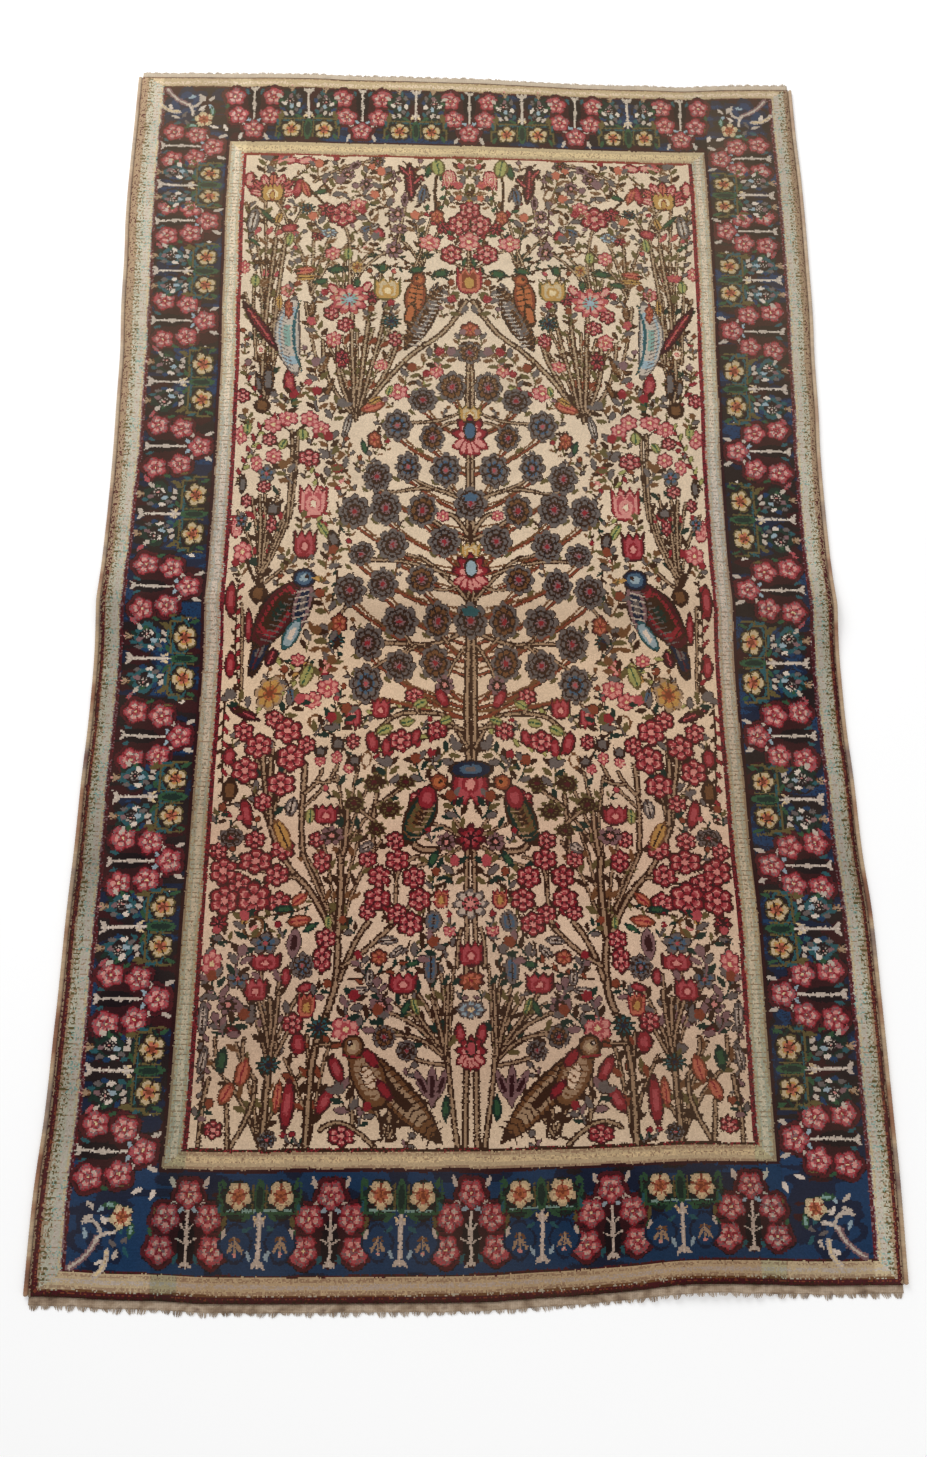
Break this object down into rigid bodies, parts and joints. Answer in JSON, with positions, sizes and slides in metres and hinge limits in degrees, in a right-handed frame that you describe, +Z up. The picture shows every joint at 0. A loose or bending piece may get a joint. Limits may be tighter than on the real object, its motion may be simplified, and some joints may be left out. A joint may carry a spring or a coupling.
{
  "type": "persian rug with overcast sides and fringed flat-woven ends",
  "caption": "Hand-knotted pile rug lying flat, with overcast side cords, flat-woven ends, worn fringe and a raised storage crease across its middle.",
  "frame": {"origin": "centre of the footprint, on the floor plane under the rug", "axes": "+Y along the rug's length towards its far end, +X across it to the right as seen from the near end, +Z up out of the pile"},
  "size_m": [1.3206, 2.274, 0.0205],
  "materials": {
    "knotted_pile": "short wool pile, matt, ivory field with red, blue and gold flowers, dark border",
    "overcast_yarn": "tan and rust wool wrapped tightly round the edge warps",
    "flat_weave": "undyed cotton, flat woven, worn at its edge"
  },
  "bodies": {
    "root": {"rug_body": "knotted_pile", "selvedge_left": "overcast_yarn", "selvedge_right": "overcast_yarn", "fringed_end_near": "flat_weave", "fringed_end_far": "flat_weave"}
  },
  "joints": []
}
